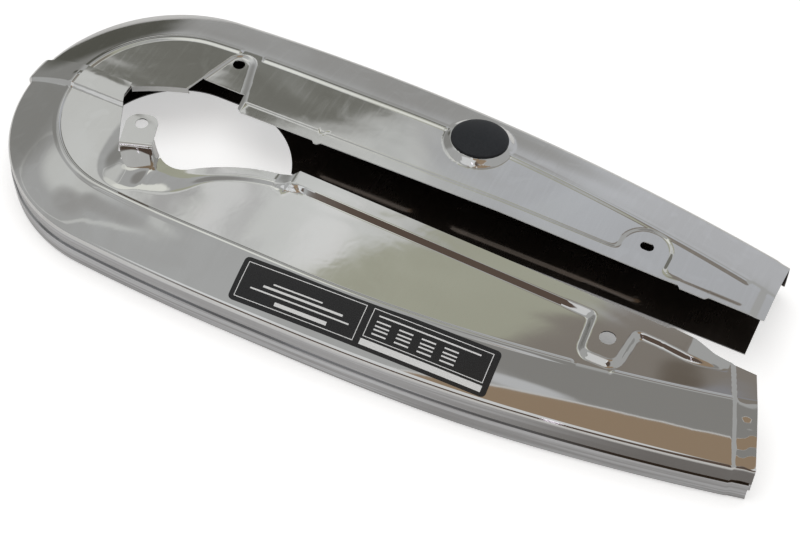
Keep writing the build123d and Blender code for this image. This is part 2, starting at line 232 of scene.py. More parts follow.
# Wheel-side panels
hub_radius = 65.0
hub_travel = 24.0
hub_steps = 40
pan_edges = {1: 24.0, -1: 16.0}
stiffener_spans = ((101.0, 180.0), (206.0, 354.0))
stiffener_width = 24.0
stiffener_edge = 7.0
stiffener_rise = 2.0
stiffener_corner = 6.0
stiffener_step = 3.0

# Label on the border of the upper half, and its plain print: left, right, low and high from its middle
label_x = 205.5
label_length = 184.0
label_middle = 93.9
label_width = 29.8
label_turn = 2.2
label_corner = 3.2
label_lift = 0.35
label_sheet = 0.2
label_points = (370, 63)
frame_line = 0.45
label_frames = ((-88.5, -1.6, -11.8, 12.2), (3.2, 87.5, -7.0, 12.2))
table_columns = (8, 24, 40, 56)
table_rows = (-4.4, -1.6, 1.2, 4.0)
table_bar = (10, 0.9)
label_bars = (
    (2.6, 88.0, -12.4, -8.6), (-60, -22, -9.6, -7.4), (-80, -8, -4.4, -3.2), (-72, -14, -0.8, 0.3),
    (-66, -30, 2.6, 3.6), (8, 80, 7.6, 8.5),
    *((u, u + table_bar[0], v, v + table_bar[1]) for u in table_columns for v in table_rows),
)

# Stations along the rim: steps round the rear, then start, end and step of each stretch
rear_step = 1.7
upper_stations = ((0, 110, 1.4), (110, 326, 2.8), (326, 380, 0.9), (380, 480, 1.2))
lower_stations = ((0, 44, 0.9), (44, 180, 2.4), (180, 236, 0.9), (236, 326, 2.4), (326, 440, 1.1))
pan_rear_step = 2.4
pan_stations = ((0, 100, 1.6), (100, 480, 2.4))
corner_step = 0.05
corner_clearance = 0.35

# Lanes across a panel, and the bands of close lanes from the inner edges
lanes = {"edge": 7, "close": 18, "field": 31, "roll": 15, "border": 17, "bend": 9, "wall": 7, "pan": 52}
upper_close_lanes = (8.0, 17.0)
lower_close_lanes = (6.0, 13.0)
close_limit = 0.7

# Plate shades, and the heights and places in metres where the plate changes
bright_shades = ((0.69, 0.685, 0.67), (0.80, 0.805, 0.80))
# The rim's two shades: the dark one is painted shade on the rim wall
rim_painted_shades = ((0.20, 0.188, 0.178), (0.68, 0.685, 0.70))
haze_left = 0.12
wave_left = 0.3
wave_depth = 0.004
# Painted reflection bands along the rim's height: stretch, levels and the darkest share
reflection_band_stretch = (5.0, 5.0, 420.0)
reflection_band_levels = (0.38, 0.62)
reflection_band_low = 0.53
# Painted shade on the rim: darker towards the front and the rear end, and lighter below the seam
rim_front = (0.2, 0.42)
rim_rear = (-0.1, -0.02)
rim_rear_share = 0.45
seam_edge = (0.0160, 0.0168)
below_seam_share = 0.75
face_edge = (0.0275, 0.0295)

# Other shades and their roughness
# Inside faces: a dull finish, made dark as painted shade of the closed case
inside_painted_shades = ((0.11, 0.092, 0.078), (0.2, 0.17, 0.15))
inside_gloss = (0.22, 0.42)
rubber_shades = ((0.016, 0.018, 0.021), (0.03, 0.032, 0.036))
rubber_gloss = (0.42, 0.56)
vinyl_shades = ((0.008, 0.008, 0.009), (0.016, 0.016, 0.017))
print_shades = ((0.74, 0.75, 0.75), (0.82, 0.82, 0.82))
ink_gloss = (0.26, 0.36)

# Stage: glow of the floor, the gap in metres that it doesn't glow in as a painted shade, and the
# studio's own shade
floor_glow = 0.52
mirrored_glow = 0.1
gap_shade = (
    ("X", 0.110, 0.120, 0.0, 1.0), ("X", 0.375, 0.395, 1.0, 0.0),
    ("Y", 0.026, 0.034, 1.0, 0.0), ("Y", -0.034, -0.026, 0.0, 1.0),
)
studio_shade = (0.46, 0.465, 0.465)


# Plan curves, in a half's own plan: x along the case, y from the middle towards that half's rim
def flank_centre(outline):
    end_radius, flank_radius, apex_x = outline
    return math.sqrt((flank_radius - end_radius) ** 2 - apex_x ** 2)


def outline_y(outline, x):
    """Distance from the middle to a flank at x."""
    return np.sqrt(outline[1] ** 2 - (x - outline[2]) ** 2) - flank_centre(outline)


def outline_distance(outline, x, y):
    """Signed distance from an outline, positive outside it, with the way out."""
    end_radius, flank_radius, apex_x = outline
    reach = flank_centre(outline)
    rear = np.arctan2(y, x) > math.pi / 2 + math.atan(apex_x / reach)
    rear |= (y < 0) & (x < 0)
    from_end = np.hypot(x, y)
    from_flank = np.hypot(x - apex_x, y + reach)
    distance = np.where(rear, from_end - end_radius, from_flank - flank_radius)
    out_x = np.where(rear, x / np.maximum(from_end, 1e-6), (x - apex_x) / from_flank)
    out_y = np.where(rear, y / np.maximum(from_end, 1e-6), (y + reach) / from_flank)
    return distance, out_x, out_y


def rim_point(along):
    """Point on the fold outline: x along the flank, or minus the arc length round the rear."""
    end_radius = fold_outline[0]
    angle = math.pi / 2 - np.minimum(along, 0) / end_radius
    rear_x = end_radius * np.cos(angle)
    rear_y = end_radius * np.sin(angle)
    for _ in range(3):
        miss = outline_distance(fold_outline, rear_x, rear_y)[0]
        rear_x = rear_x - miss * np.cos(angle)
        rear_y = rear_y - miss * np.sin(angle)
    flank_x = np.maximum(along, 0)
    x = np.where(along < 0, rear_x, flank_x)
    return x, np.where(along < 0, rear_y, outline_y(fold_outline, flank_x))


def crease_distance(x, y):
    """Distance outside the crease, which runs a little inside the plain flank beside the hub."""
    trim = crease_trim * hill(x, crease_trim_place) * (y > 0)
    return outline_distance(crease_outline, x, y)[0] + trim


def front_share(x):
    """How far the flare of the upper half's rim has grown, from 0 beside the hub to 1 at the front."""
    return step_at(x, flare_place)


def arc_points(start, middle, end, count=14):
    """Points on the circle through three points, without the first."""
    a, b, c = complex(*start), complex(*middle), complex(*end)
    ratio = (c - a) / (b - a)
    centre = a + (b - a) * (ratio - abs(ratio) ** 2) / (2j * ratio.imag)
    first = cmath.phase(a - centre)
    sweep = (cmath.phase(c - centre) - first + math.pi) % (2 * math.pi) - math.pi
    turns = [first + sweep * i / count for i in range(1, count + 1)]
    points = [centre + cmath.rect(abs(a - centre), turn) for turn in turns]
    return [(p.real, p.imag) for p in points]


def along_of(point):
    """Rim coordinate that faces a point of an inner edge."""
    x, y = point
    if x >= 0:
        return x
    return -fold_outline[0] * (math.atan2(y, x) % (2 * math.pi) - math.pi / 2)


def edge_distance(edge, x, y):
    """Distance from points to a polyline."""
    nearest = np.full(x.shape, 1e9)
    for (ax, ay), (bx, by) in zip(edge[:-1], edge[1:]):
        run_x = bx - ax
        run_y = by - ay
        share = ((x - ax) * run_x + (y - ay) * run_y) / (run_x ** 2 + run_y ** 2)
        share = np.clip(share, 0, 1)
        nearest = np.minimum(nearest, np.hypot(x - ax - share * run_x, y - ay - share * run_y))
    return nearest


def ramp(inside, width):
    """Smooth step from 0 to 1 across an edge, over a width."""
    t = np.clip(inside / width + 0.5, 0, 1)
    return t * t * (3 - 2 * t)


def step_at(x, place):
    """Smooth step along X from 0 to 1, at a place given by its middle and length."""
    return ramp(x - place[0], place[1])


def hill(x, place):
    """Smooth hill along X, at a place given by its middle and reach."""
    return np.exp(-((x - place[0]) / place[1]) ** 2)


def blend(first, second, share):
    return first + (second - first) * share


def round_corner(a, b, radius):
    """Signed distance to where two edges both hold, with the corner rounded."""
    outside = np.hypot(np.maximum(a + radius, 0), np.maximum(b + radius, 0)) - radius
    return outside + np.minimum(np.maximum(a, b) + radius, 0)


def soft_union(a, b, radius):
    """Signed distance to where either edge holds, with the corner between them filled."""
    near = np.maximum(radius - np.abs(a - b), 0) / radius
    return np.minimum(a, b) - near * near * radius / 4


# Inner edges of the four panels
def upper_opening_edge():
    points = [opening_rear, opening_side[0], *arc_points(*opening_side), opening_foot[0]]
    points += arc_points(*opening_foot) + arc_points(*opening_flare)
    return points + [*gap_step, *gap_tongue, upper_front_inner]


def notched_edge(edge):
    """The opening edge with the notch that the tab was bent out of."""
    turn = math.radians(tab_turn)
    half = tab_width / 2 + notch_gap
    side = np.array((math.cos(turn), -math.sin(turn)))
    foot = np.array((math.sin(turn), math.cos(turn)))
    base = np.array((tab_base[0], -tab_base[1]))
    left = base - half * side + foot
    right = base + half * side
    before = [p for p in edge if p[0] < notch_span[0] or p[1] < 0]
    after = [p for p in edge if p[0] > notch_span[1]]
    return before + [left - notch_depth * foot, left, right, right + notch_nib] + after


def gap_y(x):
    """Straight inner edge of the lower half along the swingarm gap."""
    return np.interp(x, *zip(*gap_line))


def tongue(start, end):
    """Corners of a tongue on the straight edge of the lower half."""
    low, high = gap_y(start), gap_y(end)
    drop = tongue_drop
    return [(start, low), (start + drop, low - drop), (end - drop, high - drop), (end, high)]


def lower_opening_edge():
    points = [cheek_rear, cheek_edge[0], *arc_points(*cheek_edge)]
    points += [(pad_edge[0], pad_span[0]), (pad_edge[1], pad_span[0]), gap_shoulder, gap_line[0]]
    points += tongue(*tongues[0]) + [gap_line[1]] + tongue(*tongues[1])
    return points + [gap_line[2], (lower_front_x, gap_line[2][1])]


def rear_lap(side):
    """How far a half reaches past the middle at the rear, where the upper half lies over the lower."""
    return overlap_tuck - overlap_end if side > 0 else overlap_end


def rear_start(side):
    """Rim coordinate at which a half starts."""
    return -fold_outline[0] * (math.pi / 2 + math.asin(rear_lap(side) / fold_outline[0]))


def pan_edge(side):
    """Hub hole and straight edge of a wheel-side panel."""
    rear_y = -rear_lap(side)
    edge_y = pan_edges[side]
    diagonal = hub_radius * math.sqrt(0.5)
    start = (-math.sqrt(hub_radius ** 2 - rear_y ** 2), rear_y)
    turn = (hub_travel, hub_radius)
    front = (hub_travel + math.sqrt(hub_radius ** 2 - edge_y ** 2), edge_y)
    points = [start, *arc_points(start, (-diagonal, diagonal), (0, hub_radius), hub_steps), turn]
    points += arc_points(turn, (hub_travel + diagonal, diagonal), front, hub_steps)
    end_x = lower_front_x - lower_pan_setback
    if side < 0:
        end_x = upper_front_inner[0] - upper_pan_setback - pan_margin
    return points + [(end_x, edge_y)]


# Stations along the rim, closer together where a pressing needs it
def stations(edge, rear_spacing, spans, rim_start, rim_end):
    """Columns of the rim coordinates of the stations and of the inner edge point of each."""
    edge_along = np.array([along_of(p) for p in edge])
    edge_along[0] = rim_start
    edge_along[-1] = rim_end
    for i in range(1, len(edge)):
        edge_along[i] = max(edge_along[i], edge_along[i - 1] + corner_step)
    rim = [rim_start, rim_end]
    for start, end, step in ((rim_start, 0, rear_spacing), *spans):
        rim += list(np.arange(start, end, step))
    rim = np.array(sorted(w for w in rim if rim_start <= w <= rim_end))
    corners = edge_along[1:-1]
    keep = np.abs(rim[:, None] - corners[None, :]).min(axis=1) > corner_clearance
    keep[0] = keep[-1] = True
    rim = np.unique(np.concatenate([rim[keep], corners]))[:, None]
    inner_x = np.interp(rim, edge_along, [p[0] for p in edge])
    inner_y = np.interp(rim, edge_along, [p[1] for p in edge])
    return rim, inner_x, inner_y


def side_by_side(*parts):
    return np.concatenate(parts, axis=1)


def lane_steps(name):
    """Even shares from 0 to 1, one for each lane of a kind."""
    return np.linspace(0, 1, lanes[name])


def crease_share(inner_x, inner_y, outer_x, outer_y):
    """Share of each line from the inner edge to the rim at which it crosses the crease."""
    low = np.zeros(inner_x.shape)
    high = np.ones(inner_x.shape)
    for _ in range(30):
        middle = (low + high) / 2
        outside = crease_distance(blend(inner_x, outer_x, middle), blend(inner_y, outer_y, middle)) > 0
        high = np.where(outside, middle, high)
        low = np.where(outside, low, middle)
    return (low + high) / 2


# Pressed heights of the outer panels
def crown(x, y):
    """Flat field, rolled crease and curved border."""
    beyond = crease_distance(x, y)
    left = -outline_distance(fold_outline, x, y)[0]
    width = np.maximum(beyond + left, 1.0)
    rolled = np.where(beyond > crease_roll, beyond, (beyond + crease_roll) ** 2 / (4 * crease_roll))
    rolled = np.where(beyond < -crease_roll, 0, rolled)
    share = rolled / width
    drop = border_slope_start * share + (1 - border_slope_start) * share ** 2
    return crown_height - (crown_height - fold_height) * drop


def bead(x, y, runs, steep_side):
    """Low bead on the crease, in runs with round ends; -1 makes the side towards the field steeper."""
    across = crease_distance(x, y)
    angle = np.arctan2(y, x) % (2 * math.pi)
    along = np.where((x < 0) | (y < 0), -crease_outline[0] * (angle - math.pi / 2), x)
    flank = np.where(across * steep_side > 0, bead_steep, bead_flank)
    height = np.zeros(x.shape)
    for start, end in runs:
        past = np.maximum(np.maximum(start - along, along - end), 0)
        inside = (bead_top + flank - np.hypot(across, past)) / flank
        height = np.maximum(height, np.clip(inside, 0, 1))
    return bead_rise * height * (1 - bead_front_fade * step_at(x, bead_fade_place))


def upper_height(x, y):
    """Crown and bead of the upper half, with its raised border and front boss."""
    top, foot = boss_half_widths
    lean = (top - foot) / boss_foot
    sides = (np.abs(x - boss_x) - (top - lean * y)) / math.hypot(1, lean)
    boss = round_corner(sides, y - boss_foot, boss_corner)
    fade = 1 - step_at(x, border_fade_place)
    past_hub = step_at(x, hub_end_place)
    beside_hub = step_at(x, hub_start_place) * (1 - past_hub)
    edge = [p for p in upper_opening_edge() if not tongue_span[0] <= p[0] <= tongue_span[1]]
    border = edge_distance(edge, x, y) - border_width * blend(border_front_share, 1.0, fade)
    border = border - border_at_tab * hill(x, (tab_base[0], tab_reach[0]))
    border = border + border_hub_trim * np.maximum(beside_hub, hill(x, gap_corner_place))
    inside = -soft_union(border, boss, boss_union)
    soft = ramp(inside, blend(soft_step, hub_step, beside_hub))
    wall = np.clip(inside / wall_step + 0.5, 0, 1)
    rounded = ramp(inside, blend(boss_step, front_step, step_at(x, boss_end_place)))
    wall = blend(wall, rounded, step_at(x, boss_start_place))
    step = blend(soft, wall, past_hub)
    behind = np.exp(-((x - tab_base[0]) / tab_reach[0]) ** 4)
    at_tab = np.where(x < tab_base[0], behind, hill(x, (tab_base[0], tab_reach[1])))
    share = border_hub_share * step_at(x, border_start_place)
    share = blend(blend(share, 1.0, at_tab), 1.0, past_hub)
    rise = border_rise * step * share * np.where(x > boss_x + top, fade, 1)
    return crown(x, y) + bead(x, y, upper_bead_runs, -1) + rise


def plug_seat():
    """Middle and tilt of the plug's seat, which lies across the crease."""
    centre_y = float(outline_y(crease_outline, plug_x))
    slope = (crown_height - fold_height) / (float(outline_y(fold_outline, plug_x)) - centre_y)
    return centre_y, math.atan(slope) / 2


def collar(x, y, height):
    """Tilted seat of the plug, standing out of the crease."""
    centre_y, tilt = plug_seat()
    seat = crown_height + collar_rise - (y - centre_y) * math.tan(tilt)
    reach = np.hypot(x - plug_x, (y - centre_y) / math.cos(tilt))
    return blend(height, seat, np.clip((collar_radius + collar_foot - reach) / collar_wall, 0, 1))


def lower_height(x, y):
    """Crown and beads of the lower half, with its ledge, arch, pad and plug collar."""
    height = crown(x, y) + bead(x, y, lower_bead_runs, 0)
    ledge = y - gap_y(x) - ledge_width + ledge_narrowing * step_at(x, ledge_narrow_place)
    ledge = np.maximum(ledge, np.maximum(ledge_span[0] - x, x - ledge_span[1]))
    arch = round_corner(np.abs(x - arch_x) - arch_half_width, y - arch_top, arch_corner)
    inside = ramp(-soft_union(ledge, arch, arch_union), ledge_step)
    height = height - ledge_drop * inside * (1 - ledge_fade * step_at(x, ledge_fade_place))
    share = (y - pad_span[0]) / (pad_span[1] - pad_span[0])
    left = blend(pad_edge[0], pad_crest[0], share)
    right = blend(pad_edge[1], pad_crest[1], share)
    pad = round_corner(np.maximum(left - x, x - right), y - pad_span[1], pad_corner)
    across = np.clip((x - left) / np.maximum(right - left, 1), 0, 1)
    wall = blend(*pad_walls, step_at(x, pad_wall_place))
    height = height - blend(*pad_drops, across) * ramp(-pad, wall)
    return collar(x, y, height)


def end_dents(x, y):
    """Shallow hand dents in the front end band of the upper half."""
    depth = np.zeros(x.shape)
    for dent_x, dent_y, width, deep in end_dent_spots:
        along = (x - dent_x) / dent_stretch[0]
        across = (y - dent_y) / dent_stretch[1]
        depth += deep * np.exp(-(along ** 2 + across ** 2) / width ** 2)
    return depth


def surface_normals(x, y, z):
    """Unit normals of a sheet of stations by lanes."""
    sheet_points = np.stack([x, y, z], axis=-1)
    along = np.gradient(sheet_points, axis=0)
    across = np.gradient(sheet_points, axis=1)
    normal = np.cross(along, across)
    return normal / np.maximum(np.linalg.norm(normal, axis=-1, keepdims=True), 1e-9)


def shift_along(points, normals, amount):
    """Moves the points of a sheet along normals."""
    return [c + normals[..., i] * amount for i, c in enumerate(points)]


def front_band(x, y):
    """Share of the joggle at the raked front end of the upper half."""
    run = np.subtract(upper_front_outer, upper_front_inner)
    behind = (upper_front_inner[0] - x) * run[1] - (upper_front_inner[1] - y) * run[0]
    return ramp(upper_end_band - behind / np.hypot(*run), upper_end_step) * (x > front_part_x)


def front_rim_x(setback=0.0):
    """X at which the raked front line of the upper half, moved back, crosses the rim."""
    run = np.subtract(upper_front_outer, upper_front_inner)
    lean = run[0] / run[1]
    back = setback * math.hypot(1, lean)
    x = upper_front_outer[0]
    for _ in range(20):
        x = upper_front_inner[0] - back + lean * (outline_y(fold_outline, x) - upper_front_inner[1])
    return float(x)


def outer_sheet(height, edge, spans, rim_start, rim_end, close_lanes, flare):
    """Stations and lanes of an outer panel, from its inner edge over the fold to the flange's foot."""
    rim, inner_x, inner_y = stations(edge, rear_step, spans, rim_start, rim_end)
    fold_x, fold_y = rim_point(rim)
    _, out_x, out_y = outline_distance(fold_outline, fold_x, fold_y)
    wider = flare * front_share(fold_x)
    fold_y = fold_y + fold_flare * wider
    crease = crease_share(inner_x, inner_y, fold_x, fold_y)
    length = np.hypot(fold_x - inner_x, fold_y - inner_y)
    border = (1 - crease) * length
    slope = np.arctan((crown_height - fold_height) / border * (2 - border_slope_start))
    turn = math.pi / 2 - slope
    fold_start = 1 - fold_radius * np.tan(turn / 2) * np.cos(slope) / length
    roll = crease_band / length
    near, far = close_lanes
    close = np.array([*near * lane_steps("edge")[:-1], *blend(near, far, lane_steps("close"))])
    close_end = np.minimum(far / length, close_limit * (crease - roll))
    shares = side_by_side(
        close / far * close_end,
        blend(close_end, crease - roll, lane_steps("field")[1:-1]),
        crease + roll * (2 * lane_steps("roll")[:-1] - 1),
        blend(crease + roll, fold_start, lane_steps("border")),
    )
    x = blend(inner_x, fold_x, shares)
    y = blend(inner_y, fold_y, shares)
    z = height(x, y)
    wall_z = z[:, -1:] - fold_radius * np.sin(turn)
    angle = turn * (1 - lane_steps("bend")[1:])
    inset = fold_radius * (1 - np.cos(angle))
    flange_z = blend(wall_z, flange_foot, lane_steps("wall")[1:])
    flange_y = fold_y + flange_lean * wider * (1 - flange_z / wall_z)
    x = side_by_side(x, fold_x - out_x * inset, np.repeat(fold_x, flange_z.shape[1], axis=1))
    y = side_by_side(y, fold_y - out_y * inset, flange_y)
    z = side_by_side(z, wall_z + fold_radius * np.sin(angle), flange_z)
    return x, y, z


def pan_sheet(side, rim_end):
    """Stations and lanes of a wheel-side panel, from its inner edge round the bend to the seam."""
    edge = pan_edge(side)
    rim, inner_x, inner_y = stations(edge, pan_rear_step, pan_stations, rear_start(side), rim_end)
    wall_x, wall_y = rim_point(rim)
    _, out_x, out_y = outline_distance(fold_outline, wall_x, wall_y)
    wider = front_share(wall_x) * (side < 0)
    lean = flange_lean * wider / (fold_height - fold_radius)
    wall_x = wall_x + out_x * pan_grow
    wall_y = wall_y + out_y * pan_grow + fold_flare * wider
    wall_y = wall_y + lean * (fold_height - fold_radius - pan_radius)
    x = blend(inner_x, wall_x - out_x * pan_radius, lane_steps("pan"))
    y = blend(inner_y, wall_y - out_y * pan_radius, lane_steps("pan"))
    z = np.zeros(x.shape)
    row = pan_edges[side] + stiffener_edge + stiffener_width / 2
    for start, end in stiffener_spans:
        along = np.abs(x - (start + end) / 2) - (end - start) / 2
        across = np.abs(y - row) - stiffener_width / 2
        z = z + stiffener_rise * ramp(-round_corner(along, across, stiffener_corner), stiffener_step)
    angle = math.pi / 2 * lane_steps("bend")[1:]
    inset = pan_radius * (1 - np.sin(angle))
    up_z = blend(pan_radius, seam_height, lane_steps("wall")[1:])
    rise = np.array([*(pan_radius * (1 - np.cos(angle))), *up_z])
    x = side_by_side(x, wall_x - out_x * inset, np.repeat(wall_x, len(up_z), axis=1))
    y = side_by_side(y, wall_y - out_y * inset, wall_y - lean * (up_z - pan_radius))
    z = side_by_side(z, np.repeat(rise[None, :], len(rim), axis=0))
    return x, y, z


# Modelling steps
def set_mode(mode):
    bpy.ops.object.mode_set(mode=mode)


def deselect_all():
    if bpy.context.object and bpy.context.object.mode != "OBJECT":
        set_mode("OBJECT")
    bpy.ops.object.select_all(action="DESELECT")


def make_active(piece):
    deselect_all()
    piece.select_set(True)
    bpy.context.view_layer.objects.active = piece


def new_piece(name):
    piece = bpy.context.object
    piece.name = name
    piece.data.name = name
    return piece


def pressed_blank(name, x, y, z, flip):
    """A flat blank with one row of squares for each station, pressed to the given form."""
    deselect_all()
    across, along = x.shape[1], x.shape[0]
    bpy.ops.mesh.primitive_grid_add(x_subdivisions=along - 1, y_subdivisions=across - 1, size=1.0)
    piece = new_piece(name)
    assert len(piece.data.vertices) == along * across, (len(piece.data.vertices), along, across)
    points = np.stack([x.T, y.T, z.T], axis=-1).reshape(-1, 3) * mm
    piece.data.vertices.foreach_set("co", points.astype(np.float32).ravel())
    piece.data.update()
    if flip:
        set_mode("EDIT")
        bpy.ops.mesh.select_all(action="SELECT")
        bpy.ops.mesh.flip_normals()
        set_mode("OBJECT")
    return piece


def give_thickness(piece, thickness=sheet, inside_offset=1):
    """Sheet thickness, inwards, with the second material on the inside."""
    make_active(piece)
    wall = piece.modifiers.new("sheet", "SOLIDIFY")
    wall.thickness = thickness * mm
    wall.offset = -1
    wall.material_offset = inside_offset
    wall.material_offset_rim = 0
    bpy.ops.object.modifier_apply(modifier=wall.name)


def punch_tool(x, y, length, width, z=crown_height, depth=60.0):
    """Round or round-ended punch along Z."""
    deselect_all()
    bpy.ops.mesh.primitive_cylinder_add(
        vertices=48, radius=width / 2 * mm, depth=depth * mm, location=(x * mm, y * mm, z * mm)
    )
    tool = new_piece("punch")
    for vertex in tool.data.vertices:
        vertex.co.x += math.copysign((length - width) / 2 * mm, vertex.co.x) if length > width else 0
    return tool


def punch(piece, tools):
    """Cuts the punches out of a piece and deletes them."""
    for tool in tools:
        make_active(piece)
        cut = piece.modifiers.new("hole", "BOOLEAN")
        cut.operation = "DIFFERENCE"
        cut.solver = "EXACT"
        cut.object = tool
        bpy.ops.object.modifier_apply(modifier=cut.name)
        bpy.data.objects.remove(tool)


def join(piece, others):
    deselect_all()
    for other in others:
        other.select_set(True)
    piece.select_set(True)
    bpy.context.view_layer.objects.active = piece
    bpy.ops.object.join()
    return piece


def finish_edges(piece, angle=38.0):
    make_active(piece)
    bpy.ops.object.shade_smooth_by_angle(angle=math.radians(angle))


def set_down(piece, place, turn, axis):
    """Turns a piece about an axis through its origin, and moves it to its place."""
    make_active(piece)
    move = Matrix.Translation([c * mm for c in place])
    piece.matrix_world = move @ Matrix.Rotation(turn, 4, axis)
    bpy.ops.object.transform_apply(location=True, rotation=True, scale=True)


def paint(piece, *materials):
    for material in materials:
        piece.data.materials.append(material)


def dress(piece, face, back, tools=()):
    """Sheet thickness with a material on each side, and the punched holes."""
    paint(piece, face, back)
    give_thickness(piece)
    punch(piece, tools)


# Shared shader effects
def group_nodes(name, output, **values):
    """A shader node group that makes one value from a vector and the given values."""
    group = bpy.data.node_groups.new(name, "ShaderNodeTree")
    group.interface.new_socket(name="Vector", in_out="INPUT", socket_type="NodeSocketVector")
    for label, value in values.items():
        socket = group.interface.new_socket(name=label, in_out="INPUT", socket_type="NodeSocketFloat")
        socket.default_value = value
    group.interface.new_socket(name=output, in_out="OUTPUT", socket_type="NodeSocketFloat")
    start = group.nodes.new("NodeGroupInput")
    end = group.nodes.new("NodeGroupOutput")
    return group, start.outputs, end.inputs[output]


def set_socket(tree, socket, value):
    """Links a socket, or sets it to a number, a vector or a colour."""
    if isinstance(value, bpy.types.NodeSocket):
        tree.links.new(value, socket)
    elif socket.type == "RGBA":
        socket.default_value = (*value, 1)
    else:
        socket.default_value = value


def add_node(tree, kind, inputs, **settings):
    """Outputs of a new node with the given settings and inputs."""
    node = tree.nodes.new(kind)
    for name, value in settings.items():
        setattr(node, name, value)
    for name, value in inputs.items():
        set_socket(tree, node.inputs[name], value)
    return node.outputs


def noise(tree, vector, scale, detail, distortion=0.0):
    inputs = {"Vector": vector, "Scale": scale, "Detail": detail, "Distortion": distortion}
    return add_node(tree, "ShaderNodeTexNoise", inputs)["Fac"]


def remap(tree, value, low, high, to_low=0.0, to_high=1.0):
    inputs = {"Value": value, "From Min": low, "From Max": high, "To Min": to_low, "To Max": to_high}
    return add_node(tree, "ShaderNodeMapRange", inputs, interpolation_type="SMOOTHSTEP")["Result"]


def math_node(tree, kind, first, second):
    return add_node(tree, "ShaderNodeMath", {0: first, 1: second}, operation=kind)["Value"]


def stretched(tree, vector, scale):
    return add_node(tree, "ShaderNodeMapping", {"Vector": vector, "Scale": scale})["Vector"]


def make_polish_haze_group():
    """Cloudy polishing haze, swirls and fine streaks, as one mask."""
    group, start, end = group_nodes("polish_haze", "Haze", Streaks=0.3)
    vector = start["Vector"]
    cloud = remap(group, noise(group, vector, 11.0, 3.0, 0.8), 0.4, 0.75)
    swirl = remap(group, noise(group, vector, 26.0, 1.0, 2.6), 0.52, 0.68)
    streak = noise(group, stretched(group, vector, (420.0, 22.0, 40.0)), 1.0, 3.0)
    streak = math_node(group, "MULTIPLY", remap(group, streak, 0.45, 0.75), start["Streaks"])
    cloud = math_node(group, "MULTIPLY", cloud, 0.7)
    swirl = math_node(group, "MULTIPLY", swirl, 0.3)
    group.links.new(math_node(group, "ADD", streak, math_node(group, "MAXIMUM", cloud, swirl)), end)
    return group


def make_sheet_waves_group():
    """Long shallow waves of pressed sheet, as a height."""
    group, start, end = group_nodes("sheet_waves", "Height")
    wide = noise(group, stretched(group, start["Vector"], (9.0, 15.0, 15.0)), 1.0, 2.0, 0.6)
    fine = math_node(group, "MULTIPLY", noise(group, start["Vector"], 60.0, 2.0, 0.4), 0.06)
    group.links.new(math_node(group, "ADD", wide, fine), end)
    return group


def make_grain_group():
    """Fine moulded or printed grain, as a mask."""
    group, start, end = group_nodes("fine_grain", "Grain", Scale=900.0)
    grain = noise(group, start["Vector"], start["Scale"], 3.0)
    group.links.new(remap(group, grain, 0.3, 0.7), end)
    return group


def new_material(name):
    material = bpy.data.materials.new(name)
    material.use_nodes = True
    tree = material.node_tree
    place = add_node(tree, "ShaderNodeTexCoord", {})["Object"]
    return material, tree, tree.nodes["Principled BSDF"], place


def axes(tree, place):
    return add_node(tree, "ShaderNodeSeparateXYZ", {"Vector": place})


def use_group(tree, group, **values):
    return add_node(tree, "ShaderNodeGroup", values, node_tree=group)[0]


def colour_mix(tree, factor, first, second):
    # Inputs 6 and 7 and output 2 are the colours of the node
    inputs = {"Factor": factor, 6: first, 7: second}
    return add_node(tree, "ShaderNodeMix", inputs, data_type="RGBA")[2]


def bump(tree, height, strength, distance, shader):
    inputs = {"Height": height, "Strength": strength, "Distance": distance}
    tree.links.new(add_node(tree, "ShaderNodeBump", inputs)["Normal"], shader.inputs["Normal"])


def make_masked(name, group, shades, gloss, **values):
    """Material whose colour and roughness go with the mask that a group makes."""
    material, tree, shader, place = new_material(name)
    mask = use_group(tree, group, Vector=place, **values)
    tree.links.new(colour_mix(tree, mask, *shades), shader.inputs["Base Color"])
    tree.links.new(remap(tree, mask, 0.0, 1.0, *gloss), shader.inputs["Roughness"])
    return material, tree, shader, mask


def make_bright_plate(name, haze_group, waves_group, haze_reach, gloss, streaks, ripple):
    """Bright plate on the face, hazier behind haze_reach, with painted shade in painted reflection bands
    on the rim.
    """
    material, tree, shader, place = new_material(name)
    shader.inputs["Metallic"].default_value = 1.0
    where = axes(tree, place)
    worn = remap(tree, where["X"], *haze_reach, 1.0, haze_left)
    haze = math_node(tree, "MULTIPLY", use_group(tree, haze_group, Vector=place, Streaks=streaks), worn)
    # Painted reflection bands along the rim's height
    painted_reflection_bands = remap(tree, noise(tree, stretched(tree, place, reflection_band_stretch), 1.0, 3.0), *reflection_band_levels)
    painted_reflection_bands = remap(tree, painted_reflection_bands, 0.0, 1.0, reflection_band_low, 1.0)
    # Painted shade: the rim darker towards the front and the rear end, lighter below the seam
    front = remap(tree, where["X"], *rim_front, 1.0, 0.0)
    rear = remap(tree, where["X"], *rim_rear, rim_rear_share, 1.0)
    below_seam = remap(tree, where["Z"], *seam_edge, below_seam_share, 0.0)
    share = math_node(tree, "MAXIMUM", math_node(tree, "MINIMUM", front, rear), below_seam)
    # The rim's colour is painted shade, between its dark and light shades
    rim = colour_mix(tree, math_node(tree, "MULTIPLY", painted_reflection_bands, share), *rim_painted_shades)
    bright = colour_mix(tree, haze, *bright_shades)
    face = remap(tree, where["Z"], *face_edge)
    tree.links.new(colour_mix(tree, face, rim, bright), shader.inputs["Base Color"])
    tree.links.new(remap(tree, haze, 0.0, 1.0, *gloss), shader.inputs["Roughness"])
    waves = use_group(tree, waves_group, Vector=place)
    height = math_node(tree, "MULTIPLY", waves, math_node(tree, "ADD", worn, wave_left))
    bump(tree, height, ripple, wave_depth, shader)
    return material


